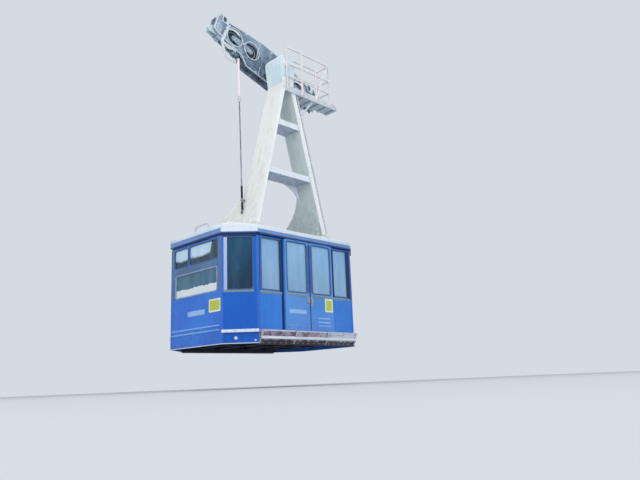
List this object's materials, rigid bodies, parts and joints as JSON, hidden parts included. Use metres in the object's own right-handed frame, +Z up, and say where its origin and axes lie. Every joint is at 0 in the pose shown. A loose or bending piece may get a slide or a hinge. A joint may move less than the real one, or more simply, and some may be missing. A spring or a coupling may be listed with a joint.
{
  "type": "aerial cable car cabin with track carriage",
  "caption": "Eight-sided cable car cabin hung by a tapered two-leg hanger from a wheeled rope carriage, with sliding doors, service platform and roof and floor hatches.",
  "frame": {"origin": "the track rope's centre line at the middle of the carriage", "axes": "+Z up, +X uphill along the rope seen from above, +Y towards the side the hanger is offset to"},
  "size_m": [4.0552, 3.08, 8.131],
  "materials": {
    "carriage_paint": "satin",
    "wheel_steel": "satin",
    "pin_steel": "satin",
    "hanger_paint": "satin",
    "galvanised": "satin",
    "cabin_blue": "gloss",
    "roof_paint": "satin",
    "frame_dark": "satin",
    "step_metal": "satin",
    "window_glass": "gloss",
    "floor_rubber": "matte",
    "rail_steel": "satin",
    "desk_grey": "matte",
    "bench_wood": "satin"
  },
  "bodies": {
    "carriage": {"carriage_frame": "carriage_paint", "carriage_ties": "carriage_paint", "pivot_pin": "pin_steel", "rope_brakes": "carriage_paint", "rope_guides": "carriage_paint", "haul_clevises": "carriage_paint", "brake_lever": "carriage_paint"},
    "rocker_front": {"rocker_front": "carriage_paint"},
    "rocker_rear": {"rocker_rear": "carriage_paint"},
    "wheel_1": {"wheel_1": "wheel_steel"},
    "wheel_2": {"wheel_2": "wheel_steel"},
    "wheel_3": {"wheel_3": "wheel_steel"},
    "wheel_4": {"wheel_4": "wheel_steel"},
    "cabin": {"hanger_head": "hanger_paint", "hanger_leg_front": "hanger_paint", "hanger_leg_rear": "hanger_paint", "hanger_rungs": "hanger_paint", "hanger_feet": "hanger_paint", "service_platform": "galvanised", "platform_railing": "galvanised", "hanger_ladder": "galvanised", "brake_rod": "galvanised", "roof_shell": "roof_paint", "roof_rails": "galvanised", "end_wall_front": "cabin_blue", "end_wall_rear": "cabin_blue", "end_glass": "window_glass", "corner_panels": "cabin_blue", "corner_glass": "window_glass", "side_bays": "cabin_blue", "side_glass": "window_glass", "cant_rail": "frame_dark", "door_headers": "cabin_blue", "side_steps": "step_metal", "corner_bumpers": "step_metal", "end_ledges": "cabin_blue", "floor_deck": "floor_rubber", "underframe": "frame_dark", "side_sills": "frame_dark", "grab_poles": "rail_steel", "handrails": "rail_steel", "control_desk": "desk_grey", "bench": "bench_wood"},
    "roof_hatch": {"roof_hatch": "roof_paint"},
    "floor_hatch": {"floor_hatch": "floor_rubber"},
    "door_near_front": {"door_near_front": "cabin_blue", "door_glass_near_front": "window_glass"},
    "door_near_rear": {"door_near_rear": "cabin_blue", "door_glass_near_rear": "window_glass"},
    "door_far_front": {"door_far_front": "cabin_blue", "door_glass_far_front": "window_glass"},
    "door_far_rear": {"door_far_rear": "cabin_blue", "door_glass_far_rear": "window_glass"}
  },
  "joints": [
    {"name": "hanger_swing", "type": "hinge", "parent": "carriage", "child": "cabin", "pos_m": [0.05112, 0, -0.16213], "axis": [0, 1, 0], "range_deg": [-30, 30]},
    {"name": "rocker_front_pivot", "type": "hinge", "parent": "carriage", "child": "rocker_front", "pos_m": [0.7406, 0, 0.47782], "axis": [0, 1, 0], "range_deg": [-8, 8]},
    {"name": "rocker_rear_pivot", "type": "hinge", "parent": "carriage", "child": "rocker_rear", "pos_m": [-0.88072, 0, -0.03338], "axis": [0, 1, 0], "range_deg": [-8, 8]},
    {"name": "wheel_1_spin", "type": "hinge", "parent": "rocker_front", "child": "wheel_1", "pos_m": [1.00764, 0, 0.56201], "axis": [0, 1, 0], "continuous": true},
    {"name": "wheel_2_spin", "type": "hinge", "parent": "rocker_front", "child": "wheel_2", "pos_m": [0.47355, 0, 0.39362], "axis": [0, 1, 0], "continuous": true},
    {"name": "wheel_3_spin", "type": "hinge", "parent": "rocker_rear", "child": "wheel_3", "pos_m": [-0.61368, 0, 0.05081], "axis": [0, 1, 0], "continuous": true},
    {"name": "wheel_4_spin", "type": "hinge", "parent": "rocker_rear", "child": "wheel_4", "pos_m": [-1.14776, 0, -0.11758], "axis": [0, 1, 0], "continuous": true},
    {"name": "door_near_front_slide", "type": "slide", "parent": "cabin", "child": "door_near_front", "axis": [1, 0, 0], "range_m": [0, 0.67]},
    {"name": "door_near_rear_slide", "type": "slide", "parent": "cabin", "child": "door_near_rear", "axis": [-1, 0, 0], "range_m": [0, 0.67]},
    {"name": "door_far_front_slide", "type": "slide", "parent": "cabin", "child": "door_far_front", "axis": [1, 0, 0], "range_m": [0, 0.67]},
    {"name": "door_far_rear_slide", "type": "slide", "parent": "cabin", "child": "door_far_rear", "axis": [-1, 0, 0], "range_m": [0, 0.67]},
    {"name": "roof_hatch_hinge", "type": "hinge", "parent": "cabin", "child": "roof_hatch", "pos_m": [0.05112, 0.3, -4.46413], "axis": [-1, 0, 0], "range_deg": [0, 100]},
    {"name": "floor_hatch_hinge", "type": "hinge", "parent": "cabin", "child": "floor_hatch", "pos_m": [-0.28688, 0, -6.74513], "axis": [0, -1, 0], "range_deg": [0, 95]}
  ],
  "couplings": [
    {"joint": "door_near_rear_slide", "follows": "door_near_front_slide", "ratio": 1},
    {"joint": "door_far_rear_slide", "follows": "door_far_front_slide", "ratio": 1}
  ]
}
